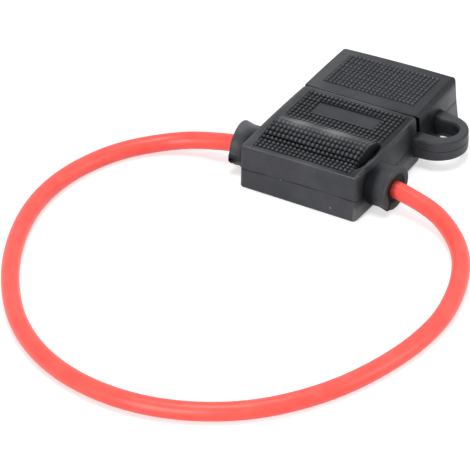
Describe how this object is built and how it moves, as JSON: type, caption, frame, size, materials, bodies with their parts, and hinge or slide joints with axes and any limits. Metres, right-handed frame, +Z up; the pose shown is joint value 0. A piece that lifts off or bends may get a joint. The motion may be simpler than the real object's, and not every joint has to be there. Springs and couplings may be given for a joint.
{
  "type": "inline fuse holder",
  "caption": "Inline holder for a blade fuse: soft moulded body with a cable gland on each side, a pull-off cap on a flexible strap and an uncut loop of red cable.",
  "frame": {"origin": "centre of the body's flat underside, halfway along the body", "axes": "+X towards the gland on the strap's side, +Y from the closed front end to the cap, +Z up"},
  "size_m": [0.1005, 0.1302, 0.0124],
  "materials": {
    "black_pvc": "satin moulded",
    "red_pvc": "smooth soft gloss",
    "tinned_brass": "tin plated",
    "copper": "bare strands",
    "fuse_plastic": "clear tinted",
    "fuse_metal": "plated zinc"
  },
  "bodies": {
    "holder": {"holder_body": "black_pvc", "terminal_left": "tinned_brass", "terminal_right": "tinned_brass", "conductor_left": "copper", "conductor_right": "copper", "insulation_left": "red_pvc", "insulation_right": "red_pvc", "cable": "red_pvc", "tether_strap": "black_pvc"},
    "cap": {"cap": "black_pvc"},
    "fuse": {"fuse_housing": "fuse_plastic", "fuse_element": "fuse_metal"}
  },
  "joints": [
    {"name": "cap_pull", "type": "slide", "parent": "holder", "child": "cap", "axis": [0, 1, 0], "range_m": [0, 0.012], "deforming": ["tether_strap"]},
    {"name": "fuse_pull", "type": "slide", "parent": "holder", "child": "fuse", "axis": [0, 1, 0], "range_m": [0, 0.0114]}
  ],
  "couplings": [
    {"joint": "fuse_pull", "follows": "cap_pull", "ratio": 0.95}
  ]
}
